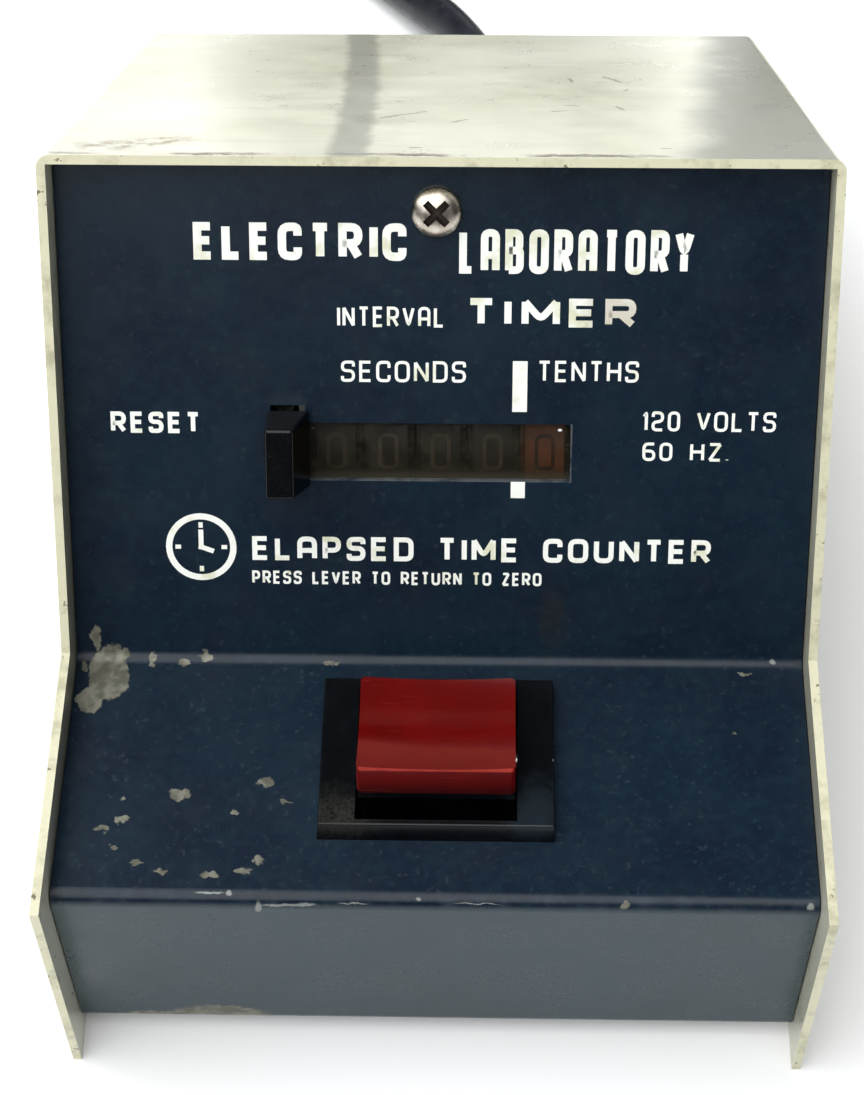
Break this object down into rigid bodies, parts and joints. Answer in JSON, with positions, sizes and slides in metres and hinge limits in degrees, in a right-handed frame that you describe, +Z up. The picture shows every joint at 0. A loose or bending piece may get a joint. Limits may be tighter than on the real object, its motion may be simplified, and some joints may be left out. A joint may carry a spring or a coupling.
{
  "type": "lab timer",
  "caption": "Sloping-front mains lab timer: number-wheel counter window, reset lever, red rocker switch, wrap-around metal cover and supply cord.",
  "frame": {"origin": "under the middle of the case's box, on the surface that the side plates stand on; the free cord, its coil, plug and strain relief are left out of that box", "axes": "+Z up, the control panel and rocker switch face -Y, the cord leaves the back towards +Y, +X is the right side seen from the front"},
  "size_m": [0.148, 0.3519, 0.1048],
  "materials": {
    "cover_metal": "bare satin sheet, smeared and lightly stained",
    "front_tab_steel": "plain steel strip",
    "blue_enamel": "dark navy baked enamel with chips",
    "screw_steel": "nickel-plated",
    "zinc_steel": "zinc-plated sheet",
    "shaft_steel": "ground steel",
    "window_plastic": "clear plastic, slightly hazed",
    "wheel_plastic": "dark grey-brown moulded plastic",
    "tenths_plastic": "faded orange-brown moulded plastic",
    "pinion_nylon": "natural nylon",
    "brass": "plain brass",
    "motor_metal": "drawn can",
    "lever_plastic": "satin black moulded plastic",
    "comb_steel": "plated strip",
    "bezel_plastic": "glossy black moulded plastic",
    "red_plastic": "glossy red moulded plastic",
    "cord_jacket": "black flexible cord jacket",
    "black_wire": "insulated hook-up wire",
    "white_wire": "insulated hook-up wire",
    "green_wire": "insulated hook-up wire"
  },
  "bodies": {
    "case": {"cover": "cover_metal", "front_cover_tab": "front_tab_steel", "rear_cover_tabs": "front_tab_steel", "chassis": "blue_enamel", "front_cover_screw": "screw_steel", "rear_cover_screws": "screw_steel", "post_screws": "screw_steel", "motor_screws": "screw_steel", "ground_stud": "screw_steel", "ground_nut": "screw_steel", "stud_nuts": "screw_steel", "counter_left_plate": "zinc_steel", "counter_right_plate": "zinc_steel", "counter_posts": "zinc_steel", "panel_studs": "zinc_steel", "switch_clips": "zinc_steel", "wheel_shaft": "shaft_steel", "pinion_shaft": "shaft_steel", "rocker_pin": "shaft_steel", "reset_spring": "shaft_steel", "window_lens": "window_plastic", "switch_terminals": "brass", "plug_blades": "brass", "ground_lug": "brass", "motor_can": "motor_metal", "motor_gearbox": "motor_metal", "switch_bezel": "bezel_plastic", "switch_body": "bezel_plastic", "cord_tube": "cord_jacket", "cord_tail": "cord_jacket", "cord_coil": "cord_jacket", "strain_relief": "cord_jacket", "cord_stub": "cord_jacket", "plug_body": "cord_jacket", "line_wire": "black_wire", "switched_wire": "black_wire", "neutral_wire": "white_wire", "ground_wire": "green_wire"},
    "reset_lever": {"reset_lever": "lever_plastic", "reset_shaft": "shaft_steel", "reset_comb": "comb_steel"},
    "rocker": {"switch_rocker": "red_plastic", "rocker_cradle": "bezel_plastic"},
    "tenths_wheel": {"tenths_wheel": "tenths_plastic", "drive_gear": "brass"},
    "seconds_wheel": {"seconds_wheel": "wheel_plastic"},
    "ten_seconds_wheel": {"ten_seconds_wheel": "wheel_plastic"},
    "hundred_seconds_wheel": {"hundred_seconds_wheel": "wheel_plastic"},
    "thousand_seconds_wheel": {"thousand_seconds_wheel": "wheel_plastic"},
    "motor_rotor": {"motor_pinion": "brass", "motor_output_shaft": "shaft_steel"},
    "carry_pinion_1": {"carry_pinion_1": "pinion_nylon"},
    "carry_pinion_2": {"carry_pinion_2": "pinion_nylon"},
    "carry_pinion_3": {"carry_pinion_3": "pinion_nylon"},
    "carry_pinion_4": {"carry_pinion_4": "pinion_nylon"}
  },
  "joints": [
    {"name": "reset_lever_press", "type": "hinge", "parent": "case", "child": "reset_lever", "pos_m": [-0.0219, -0.00136, 0.03906], "axis": [1, 0, 0], "range_deg": [0, 8], "stiffness_Nm_per_rad": 0.08, "springref_deg": -14.32},
    {"name": "rocker_tilt", "type": "hinge", "parent": "case", "child": "rocker", "pos_m": [0.0001, -0.06321, 0.0417], "axis": [1, 0, 0], "range_deg": [0, 28]},
    {"name": "tenths_wheel_spin", "type": "hinge", "parent": "case", "child": "tenths_wheel", "pos_m": [0.0149, -0.01609, 0.05743], "axis": [1, 0, 0], "continuous": true},
    {"name": "seconds_wheel_spin", "type": "hinge", "parent": "case", "child": "seconds_wheel", "pos_m": [0.0075, -0.01609, 0.05743], "axis": [1, 0, 0], "continuous": true},
    {"name": "ten_seconds_wheel_spin", "type": "hinge", "parent": "case", "child": "ten_seconds_wheel", "pos_m": [0.0001, -0.01609, 0.05743], "axis": [1, 0, 0], "continuous": true},
    {"name": "hundred_seconds_wheel_spin", "type": "hinge", "parent": "case", "child": "hundred_seconds_wheel", "pos_m": [-0.0073, -0.01609, 0.05743], "axis": [1, 0, 0], "continuous": true},
    {"name": "thousand_seconds_wheel_spin", "type": "hinge", "parent": "case", "child": "thousand_seconds_wheel", "pos_m": [-0.0147, -0.01609, 0.05743], "axis": [1, 0, 0], "continuous": true},
    {"name": "carry_pinion_1_spin", "type": "hinge", "parent": "case", "child": "carry_pinion_1", "pos_m": [0.0112, -0.01584, 0.04288], "axis": [1, 0, 0], "continuous": true},
    {"name": "carry_pinion_2_spin", "type": "hinge", "parent": "case", "child": "carry_pinion_2", "pos_m": [0.0038, -0.01584, 0.04288], "axis": [1, 0, 0], "continuous": true},
    {"name": "carry_pinion_3_spin", "type": "hinge", "parent": "case", "child": "carry_pinion_3", "pos_m": [-0.0036, -0.01584, 0.04288], "axis": [1, 0, 0], "continuous": true},
    {"name": "carry_pinion_4_spin", "type": "hinge", "parent": "case", "child": "carry_pinion_4", "pos_m": [-0.011, -0.01584, 0.04288], "axis": [1, 0, 0], "continuous": true},
    {"name": "motor_rotor_spin", "type": "hinge", "parent": "case", "child": "motor_rotor", "pos_m": [0.0196, -0.0043, 0.04917], "axis": [1, 0, 0], "continuous": true}
  ],
  "couplings": [
    {"joint": "seconds_wheel_spin", "follows": "tenths_wheel_spin", "ratio": 0.1},
    {"joint": "ten_seconds_wheel_spin", "follows": "tenths_wheel_spin", "ratio": 0.01},
    {"joint": "hundred_seconds_wheel_spin", "follows": "tenths_wheel_spin", "ratio": 0.001},
    {"joint": "thousand_seconds_wheel_spin", "follows": "tenths_wheel_spin", "ratio": 0.0001},
    {"joint": "carry_pinion_1_spin", "follows": "tenths_wheel_spin", "ratio": -0.25},
    {"joint": "carry_pinion_2_spin", "follows": "tenths_wheel_spin", "ratio": -0.025},
    {"joint": "carry_pinion_3_spin", "follows": "tenths_wheel_spin", "ratio": -0.0025},
    {"joint": "carry_pinion_4_spin", "follows": "tenths_wheel_spin", "ratio": -0.00025},
    {"joint": "motor_rotor_spin", "follows": "tenths_wheel_spin", "ratio": -5}
  ]
}
